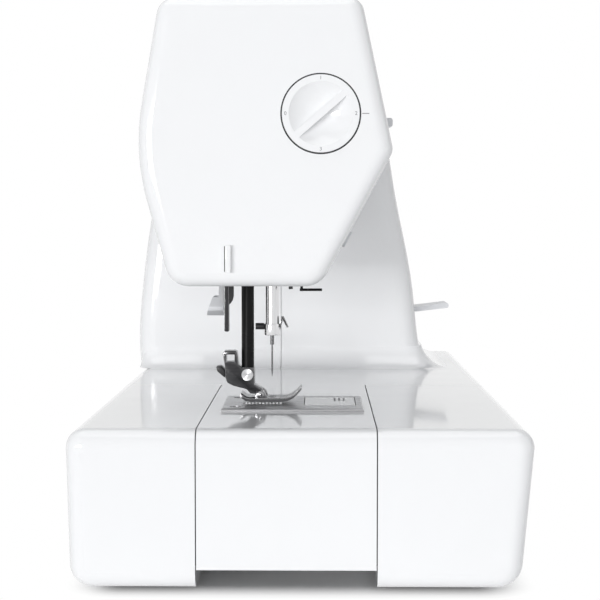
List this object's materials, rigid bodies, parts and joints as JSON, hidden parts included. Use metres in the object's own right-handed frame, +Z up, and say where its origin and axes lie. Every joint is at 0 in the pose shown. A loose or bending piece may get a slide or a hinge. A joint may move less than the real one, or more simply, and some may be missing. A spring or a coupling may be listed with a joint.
{
  "type": "free-arm sewing machine",
  "caption": "Domestic free-arm sewing machine with a slide-off extension table, top-loading bobbin, presser foot and pressure dial.",
  "frame": {"origin": "on the table, under the centre of the machine's bounding box", "axes": "+X towards the operator, +Y along the bed towards the handwheel, +Z up"},
  "size_m": [0.221, 0.44, 0.285],
  "materials": {
    "white_shell": "gloss",
    "grey_plastic": "satin",
    "black_plastic": "satin",
    "clear_cover": "clear",
    "bright_steel": "polished",
    "brushed_plate": "brushed",
    "dark_steel": "polished",
    "cast_frame": "cast",
    "bronze": "satin",
    "rubber": "matte",
    "lamp_lens": "satin"
  },
  "bodies": {
    "machine": {"base_casing": "white_shell", "free_arm_casing": "white_shell", "face_cover": "white_shell", "front_shell": "white_shell", "rear_shell": "white_shell", "thread_cutter": "white_shell", "control_panel": "white_shell", "bottom_plate": "grey_plastic", "spool_pin": "grey_plastic", "bobbin_case": "black_plastic", "power_inlet": "black_plastic", "motor": "black_plastic", "presser_spring": "bright_steel", "plate_screws": "bright_steel", "needle_plate": "brushed_plate", "thread_guide": "dark_steel", "main_frame": "cast_frame", "shaft_bushes": "bronze", "rubber_feet": "rubber", "timing_belt": "rubber", "drive_belt": "rubber", "lamp": "lamp_lens"},
    "table": {"extension_table": "white_shell"},
    "lid": {"top_lid": "white_shell"},
    "dial": {"pressure_dial": "white_shell"},
    "slider": {"speed_slider": "grey_plastic"},
    "start_button": {"start_button": "grey_plastic"},
    "needle_button": {"needle_button": "grey_plastic"},
    "tension": {"tension_dial": "grey_plastic"},
    "key_left": {"key_left": "grey_plastic"},
    "key_middle": {"key_middle": "grey_plastic"},
    "key_right": {"key_right": "grey_plastic"},
    "reverse": {"reverse_lever": "grey_plastic"},
    "power": {"power_switch": "black_plastic"},
    "main_shaft": {"upper_shaft": "bright_steel", "crank_disc": "bright_steel", "handwheel": "white_shell", "upper_pulley": "black_plastic", "drive_pulley": "grey_plastic"},
    "low_shaft": {"lower_shaft": "bright_steel", "lower_pulley": "black_plastic", "lower_gear": "black_plastic"},
    "hook": {"rotary_hook": "bright_steel", "hook_gear": "black_plastic"},
    "rotor": {"motor_pulley": "bright_steel"},
    "bobbin": {"bobbin": "lamp_lens"},
    "needle_bar": {"needle_bar": "bright_steel", "needle_clamp": "bright_steel", "clamp_screw": "black_plastic", "needle": "bright_steel", "needle_bar_link": "bright_steel"},
    "presser": {"presser_bar": "dark_steel", "foot_holder": "dark_steel", "foot_release": "black_plastic", "holder_screw": "bright_steel"},
    "foot": {"presser_foot": "bright_steel"},
    "lifter": {"presser_lifter": "grey_plastic"},
    "buttonhole": {"buttonhole_lever": "black_plastic"},
    "feed": {"feed_dog": "bright_steel"},
    "bobbin_cover": {"bobbin_cover": "clear_cover"}
  },
  "joints": [
    {"name": "table_slide", "type": "slide", "parent": "machine", "child": "table", "axis": [0, -1, 0], "range_m": [0, 0.2]},
    {"name": "lid_hinge", "type": "hinge", "parent": "machine", "child": "lid", "pos_m": [-0.07328, 0, 0.2624], "axis": [0, -1, 0], "range_deg": [0, 85]},
    {"name": "dial_turn", "type": "hinge", "parent": "machine", "child": "dial", "pos_m": [0.0098, -0.185, 0.2286], "axis": [0, 1, 0], "range_deg": [-90, 180]},
    {"name": "speed_slide", "type": "slide", "parent": "machine", "child": "slider", "axis": [0, 1, 0], "range_m": [-0.012, 0.012]},
    {"name": "start_press", "type": "slide", "parent": "machine", "child": "start_button", "axis": [-0.8796, 0, 0.4758], "range_m": [0, 0.0015], "stiffness_N_per_m": 600},
    {"name": "needle_press", "type": "slide", "parent": "machine", "child": "needle_button", "axis": [-0.8796, 0, 0.4758], "range_m": [0, 0.0015], "stiffness_N_per_m": 600},
    {"name": "tension_turn", "type": "hinge", "parent": "machine", "child": "tension", "pos_m": [0.025, -0.095, 0.24], "axis": [0, 1, 0], "range_deg": [-150, 150]},
    {"name": "key_left_press", "type": "slide", "parent": "machine", "child": "key_left", "axis": [-1, 0, 0], "range_m": [0, 0.001], "stiffness_N_per_m": 600},
    {"name": "key_middle_press", "type": "slide", "parent": "machine", "child": "key_middle", "axis": [-1, 0, 0], "range_m": [0, 0.001], "stiffness_N_per_m": 600},
    {"name": "key_right_press", "type": "slide", "parent": "machine", "child": "key_right", "axis": [-1, 0, 0], "range_m": [0, 0.001], "stiffness_N_per_m": 600},
    {"name": "reverse_press", "type": "hinge", "parent": "machine", "child": "reverse", "pos_m": [0.065, 0.12, 0.1154], "axis": [0, 1, 0], "range_deg": [0, 12], "stiffness_Nm_per_rad": 0.8},
    {"name": "power_rock", "type": "hinge", "parent": "machine", "child": "power", "pos_m": [0.04, 0.2035, 0.06], "axis": [1, 0, 0], "range_deg": [-6, 6]},
    {"name": "handwheel_turn", "type": "hinge", "parent": "machine", "child": "main_shaft", "pos_m": [-0.0156, 0, 0.238], "axis": [0, 1, 0], "continuous": true},
    {"name": "lower_shaft_turn", "type": "hinge", "parent": "machine", "child": "low_shaft", "pos_m": [-0.0156, 0, 0.036], "axis": [0, 1, 0], "continuous": true},
    {"name": "hook_turn", "type": "hinge", "parent": "machine", "child": "hook", "pos_m": [0.0043, -0.1225, 0.06], "axis": [0, 0, 1], "continuous": true},
    {"name": "motor_turn", "type": "hinge", "parent": "machine", "child": "rotor", "pos_m": [0.034, 0.15, 0.125], "axis": [0, 1, 0], "continuous": true},
    {"name": "bobbin_turn", "type": "hinge", "parent": "machine", "child": "bobbin", "pos_m": [0.0043, -0.1225, 0.07], "axis": [0, 0, 1], "continuous": true},
    {"name": "needle_bar_slide", "type": "slide", "parent": "machine", "child": "needle_bar", "axis": [0, 0, 1], "range_m": [-0.024, 0]},
    {"name": "lifter_turn", "type": "hinge", "parent": "machine", "child": "lifter", "pos_m": [-0.046, -0.1, 0.16], "axis": [-1, 0, 0], "range_deg": [0, 32]},
    {"name": "presser_lift", "type": "slide", "parent": "machine", "child": "presser", "axis": [0, 0, 1], "range_m": [0, 0.006], "deforming": ["presser_spring"]},
    {"name": "foot_tilt", "type": "hinge", "parent": "presser", "child": "foot", "pos_m": [-0.0211, -0.1245, 0.0863], "axis": [0, 1, 0], "range_deg": [-3, 2]},
    {"name": "buttonhole_slide", "type": "slide", "parent": "machine", "child": "buttonhole", "axis": [0, 0, 1], "range_m": [-0.018, 0]},
    {"name": "feed_drop", "type": "slide", "parent": "machine", "child": "feed", "axis": [0, 0, 1], "range_m": [-0.0025, 0]},
    {"name": "bobbin_cover_lift", "type": "slide", "parent": "machine", "child": "bobbin_cover", "axis": [0, 0, 1], "range_m": [0, 0.015]}
  ],
  "couplings": [
    {"joint": "lower_shaft_turn", "follows": "handwheel_turn", "ratio": 1},
    {"joint": "hook_turn", "follows": "handwheel_turn", "ratio": 2},
    {"joint": "motor_turn", "follows": "handwheel_turn", "ratio": 4},
    {"joint": "lifter_turn", "follows": "presser_lift", "rad_per_m": 93.08}
  ]
}
